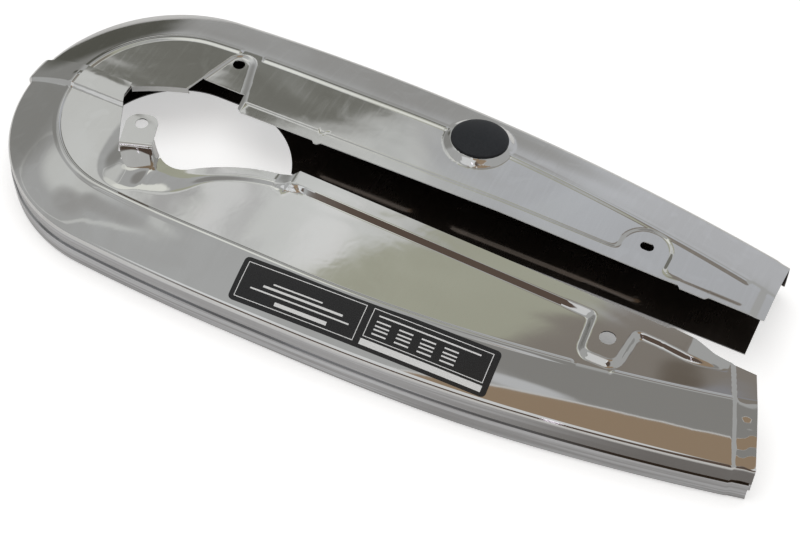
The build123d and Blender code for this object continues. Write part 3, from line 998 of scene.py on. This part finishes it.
def make_dull_inside_painted_shade(haze_group):
    # A dull finish, made dark as painted shade of the closed case
    look = (inside_painted_shades, inside_gloss)
    material, _, shader, _ = make_masked("dull_inside_painted_shade", haze_group, *look, Streaks=0.2)
    shader.inputs["Metallic"].default_value = 0.85
    return material


def make_plug_rubber(grain_group):
    material, tree, shader, grain = make_masked(
        "plug_rubber", grain_group, rubber_shades, rubber_gloss, Scale=1400.0
    )
    bump(tree, grain, 0.12, 0.0002, shader)
    shader.inputs["Specular IOR Level"].default_value = 0.2
    return material


def make_label_ink(name, grain_group, shades):
    return make_masked(name, grain_group, shades, ink_gloss, Scale=1800.0)[0]


# Panels
def make_upper_outer():
    edge = notched_edge(upper_opening_edge())
    blank = (edge, upper_stations, rear_start(-1), front_rim_x(), upper_close_lanes, 1.0)
    x, y, z = outer_sheet(upper_height, *blank)
    plain = surface_normals(*outer_sheet(crown, *blank))
    lap = ramp(overlap_band - overlap_end - y, overlap_step) * (x < 0)
    shift = overlap_joggle * lap - (upper_end_joggle - end_dents(x, y)) * front_band(x, y)
    x, y, z = shift_along((x, y, z), plain, shift)
    return pressed_blank("upper_outer_pressing", x, -y, z, flip=True)


def make_lower_outer():
    blank = (lower_opening_edge(), lower_stations, rear_start(1), lower_front_x, lower_close_lanes, 0.0)
    x, y, z = outer_sheet(lower_height, *blank)
    plain = surface_normals(*outer_sheet(crown, *blank))
    band = ramp(lower_end_band - (lower_front_x - x), lower_end_step) * (x > front_part_x)
    x, y, z = shift_along((x, y, z), plain, -lower_end_joggle * band)
    return pressed_blank("lower_outer_pressing", x, y, z, flip=False)


def turn_down_cheek(piece):
    """Turns the edge of the cheek down into a lip."""
    make_active(piece)
    cheek = [cheek_edge[0], *arc_points(*cheek_edge)]
    mesh = piece.data
    points = np.empty(len(mesh.vertices) * 3, dtype=np.float32)
    mesh.vertices.foreach_get("co", points)
    points = points.reshape(-1, 3) / mm
    on_edge = edge_distance(cheek, points[:, 0], points[:, 1]) < edge_reach
    set_mode("EDIT")
    bpy.ops.mesh.select_mode(type="EDGE")
    bpy.ops.mesh.select_all(action="DESELECT")
    set_mode("OBJECT")
    for line in mesh.edges:
        line.select = bool(on_edge[line.vertices[0]] and on_edge[line.vertices[1]])
    set_mode("EDIT")
    bpy.ops.mesh.extrude_region_move(TRANSFORM_OT_translate={"value": (0, 0, -cheek_lip * mm)})
    set_mode("OBJECT")


def make_pan(side):
    """Wheel-side panel: the lower one tucks in at the rear, and the upper one laps round it."""
    if side > 0:
        x, y, z = pan_sheet(side, lower_front_x - lower_pan_setback)
        tuck = ramp(overlap_end + pan_margin - y, tuck_step) * (x < 0)
        z = z + (sheet + lap_gap) * tuck * np.clip(1 - z / tuck_height, 0, 1)
        return pressed_blank("lower_inner_pressing", x, y, z, flip=True)
    x, y, z = pan_sheet(side, front_rim_x(upper_pan_setback))
    lap = ramp(overlap_band - overlap_end + pan_margin - y, overlap_step) * (x < 0)
    shift = overlap_joggle * lap - upper_end_joggle * front_band(x, y)
    shift = shift * np.clip(z / pan_radius, 0, 1)
    _, out_x, out_y = outline_distance(fold_outline, x, y)
    return pressed_blank("upper_inner_pressing", x + shift * out_x, -(y + shift * out_y), z, flip=False)


# Rear tab
def make_tab():
    """Plate and wall as one bent strip, with round far corners."""
    straight = tab_top - tab_foot - tab_bend
    bend = tab_bend * math.pi / 2
    flat = tab_length - tab_bend
    run = np.concatenate([
        np.linspace(0, straight, 10)[:-1],
        straight + np.linspace(0, bend, 9)[:-1],
        straight + bend + np.linspace(0, 1, 34) ** tab_spread * flat,
    ])
    past = np.clip(run - (straight + bend + flat - tab_corner), 0, tab_corner)
    half = tab_width / 2 - tab_corner + np.sqrt(np.maximum(tab_corner ** 2 - past ** 2, 0))
    x = np.linspace(-1, 1, tab_columns)[:, None] * half[None, :]
    angle = np.clip((run - straight) / tab_bend, 0, math.pi / 2)
    y = -sheet + tab_bend * (1 - np.cos(angle)) + np.maximum(run - straight - bend, 0)
    z = tab_foot + np.minimum(run, straight) + tab_bend * np.sin(angle)
    y, z = (np.repeat(c[None, :], tab_columns, axis=0) for c in (y, z))
    return pressed_blank("tab_plate", x, y, z, flip=False)


def make_tab_web():
    """Drawn return at the right end of the tab's wall."""
    corner = tab_web_corner
    bend = corner * math.pi / 2
    run = np.concatenate([np.linspace(0, bend, 9)[:-1], bend + np.linspace(0, tab_web - corner, 6)])
    angle = np.minimum(run / corner, math.pi / 2)
    x = tab_width / 2 - corner + tab_web_overhang + corner * np.sin(angle)
    y = -sheet + corner * (1 - np.cos(angle)) + np.maximum(run - bend, 0)
    up = np.linspace(0, 1, 10)
    flare = (1 - up) ** 2 * tab_web_flare
    x = x[:, None] + flare[None, :] * np.sin(angle)[:, None]
    y = y[:, None] - flare[None, :] * np.cos(angle)[:, None] * tab_web_back
    z = tab_foot + up * (tab_top - tab_foot - tab_web_drop)
    return pressed_blank("tab_web", x, y, np.repeat(z[None, :], len(run), axis=0), flip=False)


# Plug
def plug_rings():
    """Radius and height of each ring of the plug: barb, neck, lip and dome."""
    barb = plug_neck + plug_barb
    under = collar_rise - sheet - lap_gap
    edge_z = collar_rise + plug_lip - plug_round
    rings = [
        (plug_neck - plug_taper, -plug_depth), (barb, barb_rise - plug_depth), (barb, under),
        (plug_neck, under), (plug_neck, collar_rise), (plug_radius - lip_chamfer, collar_rise),
        (plug_radius, collar_rise + lip_chamfer), (plug_radius, edge_z),
    ]
    for step in range(1, 6):
        angle = math.radians(90 * step / 6)
        edge = plug_radius - plug_round + plug_round * math.cos(angle)
        rings.append((edge, edge_z + plug_round * math.sin(angle)))
    dome_radius = (plug_radius ** 2 + plug_dome ** 2) / (2 * plug_dome)
    dome_z = collar_rise + plug_lip + plug_dome - dome_radius
    for share in plug_dome_shares:
        radius = plug_radius * share
        rings.append((radius, dome_z + math.sqrt(dome_radius ** 2 - radius ** 2)))
    return rings


def make_plug():
    """Rings drawn out of one circle, tilted into the seat."""
    rings = plug_rings()
    first_radius, first_z = rings[0]
    deselect_all()
    bpy.ops.mesh.primitive_circle_add(
        vertices=96, radius=first_radius * mm, location=(0, 0, 0), fill_type="NGON"
    )
    plug = new_piece("inspection_plug_moulding")
    set_mode("EDIT")
    bpy.ops.mesh.select_all(action="SELECT")
    bpy.ops.transform.translate(value=(0, 0, first_z * mm))
    bpy.ops.mesh.select_mode(type="FACE")
    for (before, low), (after, high) in zip(rings[:-1], rings[1:]):
        bpy.ops.mesh.extrude_region_move(TRANSFORM_OT_translate={"value": (0, 0, (high - low) * mm)})
        size = after / before
        bpy.ops.transform.resize(value=(size, size, 1.0), center_override=(0, 0, high * mm))
    bpy.ops.mesh.select_all(action="SELECT")
    bpy.ops.mesh.normals_make_consistent(inside=False)
    set_mode("OBJECT")
    centre_y, tilt = plug_seat()
    set_down(plug, (plug_x, centre_y, crown_height), -tilt, "X")
    return plug


# Label
def make_label():
    """Vinyl that follows the border, with plain frames and bars printed on it."""
    turn = math.radians(label_turn)
    along = np.linspace(-0.5, 0.5, label_points[0])
    across = np.linspace(0, 1, label_points[1])
    u = along[:, None] * label_length
    v = (across[None, :] - 0.5) * label_width
    inset = np.maximum(np.abs(v) - (label_width / 2 - label_corner), 0)
    trim = label_corner - np.sqrt(np.maximum(label_corner ** 2 - inset ** 2, 0))
    u = u * (1 - 2 * trim / label_length)
    x = label_x + u * math.cos(turn) + v * math.sin(turn)
    y = label_middle - u * math.sin(turn) + v * math.cos(turn)
    z = crown(x, y)
    x, y, z = shift_along((x, y, z), surface_normals(x, y, z), label_lift)
    label = pressed_blank("label_sheet", x, -y, z, flip=True)
    u_mid = (along[:-1] + along[1:]) / 2 * label_length
    v_mid = (0.5 - (across[:-1] + across[1:]) / 2) * label_width
    for face in label.data.polygons:
        row, column = divmod(face.index, len(u_mid))
        face.material_index = 1 if printed(u_mid[column], v_mid[row]) else 0
    return label


def printed(u, v):
    """Whether the plain print covers a place on the label, from its middle, in millimetres."""
    line = frame_line
    for left, right, low, high in label_frames:
        inside = left <= u <= right and low <= v <= high
        core = left + line < u < right - line and low + line < v < high - line
        if inside and not core:
            return True
    return any(left <= u <= right and low <= v <= high for left, right, low, high in label_bars)


# Stage
def make_floor():
    """White floor that glows for the camera, but not in the deep gap between the two halves."""
    deselect_all()
    bpy.ops.mesh.primitive_grid_add(x_subdivisions=2, y_subdivisions=2, size=12.0, location=(0, 0, 0))
    floor = new_piece("studio_floor")
    material, tree, shader, place = new_material("studio_floor")
    shader.inputs["Base Color"].default_value = (0.8, 0.8, 0.8, 1)
    shader.inputs["Roughness"].default_value = 0.9
    shader.inputs["Emission Color"].default_value = (1, 1, 1, 1)
    where = axes(tree, place)
    # Painted shade: the glow is left out in a box under the gap between the halves, so the floor there
    # stays dark
    in_gap = 1.0
    for axis, *edge in gap_shade:
        in_gap = math_node(tree, "MULTIPLY", in_gap, remap(tree, where[axis], *edge))
    rays = add_node(tree, "ShaderNodeLightPath", {})
    shown = math_node(tree, "MAXIMUM", rays["Is Camera Ray"], rays["Is Transmission Ray"])
    shown = math_node(tree, "MULTIPLY", shown, math_node(tree, "SUBTRACT", 1.0, in_gap))
    seen = math_node(tree, "MULTIPLY", shown, floor_glow)
    mirrored = math_node(tree, "MULTIPLY", rays["Is Glossy Ray"], mirrored_glow)
    tree.links.new(math_node(tree, "MAXIMUM", seen, mirrored), shader.inputs["Emission Strength"])
    paint(floor, material)
    return floor


# Strands seen in the upper field: degrees along +X, outer and inner radius, and shade
strands = (
    (-25.3, 1.0, 0.35, 0.50), (-22.7, 0.75, 0.3, 0.56), (-23.6, 0.7, 0.2, 0.78), (-19.6, 1.1, 0.5, 0.83),
)
strand_rows = (30.4, 31.3, 32.2, 33.1)

# Lamp seen in the fold: degrees along +X and +Y
glint_places = ((2.8, -56.3), (3.5, -62.2), (4.1, -68.2), (4.7, -74.1), (5.3, -80.1), (5.7, -86.1))

# Cards round the studio: degrees from overhead along +X and +Y, outer and inner radius, and shade
cards = (
    ((-41.1, 2.2), 17.8, 17.0, (0.64, 0.65, 0.64)),
    ((-41.1, 2.2), 16.6, 16.0, (0.46, 0.465, 0.465)),
    ((-72, 28), 32, 18, (0.29, 0.29, 0.28)),
    ((-59, 60), 15.5, 9.5, (0.11, 0.11, 0.095)),
    ((-1, 78), 22, 8, (0.57, 0.58, 0.61)),
    ((-30, 76), 16, 8, (0.38, 0.38, 0.375)),
    ((-38, 7), 13, 6, (0.66, 0.67, 0.66)),
    ((-36, -5), 7.5, 0.5, (0.40, 0.40, 0.395)),
    ((-28.5, -1.5), 5.5, 0.5, (0.40, 0.40, 0.395)),
    ((3, 2), 17, 11.5, (0.29, 0.285, 0.275)),
    ((-28, 16), 7, 5, (0.76, 0.77, 0.74)),
    ((-22, 16), 7, 5, (0.90, 0.91, 0.86)),
    ((-9, 43), 11, 5.5, (0.54, 0.555, 0.59)),
    ((-24.5, 31.5), 9, 6.5, (0.70, 0.71, 0.70)),
    *(((along, across), outer, inner, (shade, shade, shade))
      for along, outer, inner, shade in strands for across in strand_rows),
    ((-26.9, 44.1), 10.3, 9.9, (0.20, 0.20, 0.18)),
    ((-12.5, 28), 7.7, 7.1, (0.44, 0.445, 0.36)),
    ((-6, 29), 7.2, 6.4, (0.27, 0.245, 0.22)),
    ((-4.0, 33.0), 1.7, 0.8, (0.30, 0.30, 0.32)),
    ((-6.0, 33.7), 1.1, 0.3, (0.16, 0.135, 0.11)),
    ((-5, -11), 3.4, 1.4, (0.6, 0.61, 0.63)),
    ((12.9, -28.0), 22.95, 22.6, (0.66, 0.66, 0.66)),
    ((12.9, -28.0), 22.3, 21.9, (0.35, 0.26, 0.18)),
    ((6, -76), 34, 24, (0.12, 0.088, 0.07)),
    ((-10, -48), 21.5, 18, (0.78, 0.79, 0.80)),
    *((place, 0.9, 0.5, (3.4, 3.2, 3.7)) for place in glint_places),
)


def overhead(along, across):
    """Direction at so many degrees from overhead, along +X and +Y."""
    angle = math.hypot(along, across)
    lean = math.sin(math.radians(angle)) / angle
    return along * lean, across * lean, math.cos(math.radians(angle))


def make_world():
    """Pale studio with soft cards round it, by direction."""
    world = bpy.data.worlds.new("studio")
    bpy.context.scene.world = world
    world.use_nodes = True
    tree = world.node_tree
    place = add_node(tree, "ShaderNodeTexCoord", {})["Generated"]
    colour = studio_shade
    for where, outer, inner, shade in cards:
        inputs = {0: place, 1: overhead(*where)}
        aim = add_node(tree, "ShaderNodeVectorMath", inputs, operation="DOT_PRODUCT")["Value"]
        edge = [math.cos(math.radians(angle)) for angle in (outer, inner)]
        colour = colour_mix(tree, remap(tree, aim, *edge), colour, shade)
    rays = add_node(tree, "ShaderNodeLightPath", {})
    colour = colour_mix(tree, rays["Is Camera Ray"], colour, (1, 1, 1))
    back = tree.nodes["Background"]
    tree.links.new(colour, back.inputs["Color"])
    back.inputs["Strength"].default_value = 1.0


def stand(name, data, place, aim):
    """Stands a lamp or camera at a place, turned to an aim."""
    thing = bpy.data.objects.new(name, data)
    bpy.context.scene.collection.objects.link(thing)
    thing.location = place
    thing.rotation_euler = (Vector(aim) - Vector(place)).to_track_quat("-Z", "Y").to_euler()
    return thing


def make_softbox():
    """Weak lamp overhead that shows in no reflection."""
    lamp = bpy.data.lights.new("overhead_softbox", "AREA")
    lamp.shape = "RECTANGLE"
    lamp.size = lamp.size_y = 1.6
    lamp.energy = 14.0
    softbox = stand("overhead_softbox", lamp, place=(0.1, 0.2, 1.9), aim=(0.2, 0.0, 0.0))
    softbox.visible_glossy = False
    softbox.visible_camera = False


def make_camera():
    """Stands where the photograph was taken, solved from the two rear arcs."""
    data = bpy.data.cameras.new("photo_camera")
    data.lens = 76.5
    data.sensor_width = 36.0
    place = (0.5140, -0.6461, 0.9405)
    aim = (0.1909, -0.0120, -0.0040)
    bpy.context.scene.camera = stand("photo_camera", data, place, aim)


# Build
haze = make_polish_haze_group()
waves = make_sheet_waves_group()
grain = make_grain_group()
upper_plate = make_bright_plate(
    "upper_bright_plate", haze, waves,
    haze_reach=(0.12, 0.34), gloss=(0.04, 0.09), streaks=0.08, ripple=0.09
)
lower_plate = make_bright_plate(
    "lower_bright_plate", haze, waves,
    haze_reach=(0.3, 0.6), gloss=(0.05, 0.12), streaks=0.2, ripple=0.04
)
inside = make_dull_inside_painted_shade(haze)
rubber = make_plug_rubber(grain)
vinyl = make_label_ink("label_vinyl", grain, vinyl_shades)
ink = make_label_ink("label_print", grain, print_shades)

upper_outer = make_upper_outer()
dress(upper_outer, upper_plate, inside, [punch_tool(*upper_slot)])
tab = make_tab()
tab_punch = punch_tool(0, tab_hole_reach, 2 * hole_radius, 2 * hole_radius, tab_top, 20.0)
dress(tab, upper_plate, upper_plate, [tab_punch])
web = make_tab_web()
dress(web, upper_plate, upper_plate)
for piece in (tab, web):
    set_down(piece, (*tab_base, 0), math.radians(tab_turn), "Z")
join(upper_outer, [tab, web])

lower_outer = make_lower_outer()
turn_down_cheek(lower_outer)
dress(lower_outer, lower_plate, inside, [
    punch_tool(*lower_slot),
    punch_tool(*pad_hole, 2 * hole_radius, 2 * hole_radius),
    punch_tool(plug_x, plug_seat()[0], 2 * plug_neck, 2 * plug_neck),
])

pans = {side: make_pan(side) for side in (-1, 1)}
for side, pan in pans.items():
    dress(pan, lower_plate if side > 0 else upper_plate, inside)

plug = make_plug()
paint(plug, rubber)
label = make_label()
paint(label, vinyl, ink)
give_thickness(label, label_sheet, 0)

for piece in (upper_outer, lower_outer, *pans.values(), plug, label):
    finish_edges(piece)

pairs = (
    (upper_outer, "upper_outer_panel", "chrome_plate"),
    (pans[-1], "upper_inner_panel", "chrome_plate"),
    (lower_outer, "lower_outer_panel", "chrome_plate"),
    (pans[1], "lower_inner_panel", "chrome_plate"),
    (plug, "inspection_plug", "plug_rubber"),
    (label, "label", "label_vinyl"),
)
for piece, node, slot in pairs:
    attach(piece, "root")
    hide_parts(node)

floor = make_floor()
make_world()
make_softbox()
make_camera()
bpy.context.scene.view_settings.view_transform = "Standard"
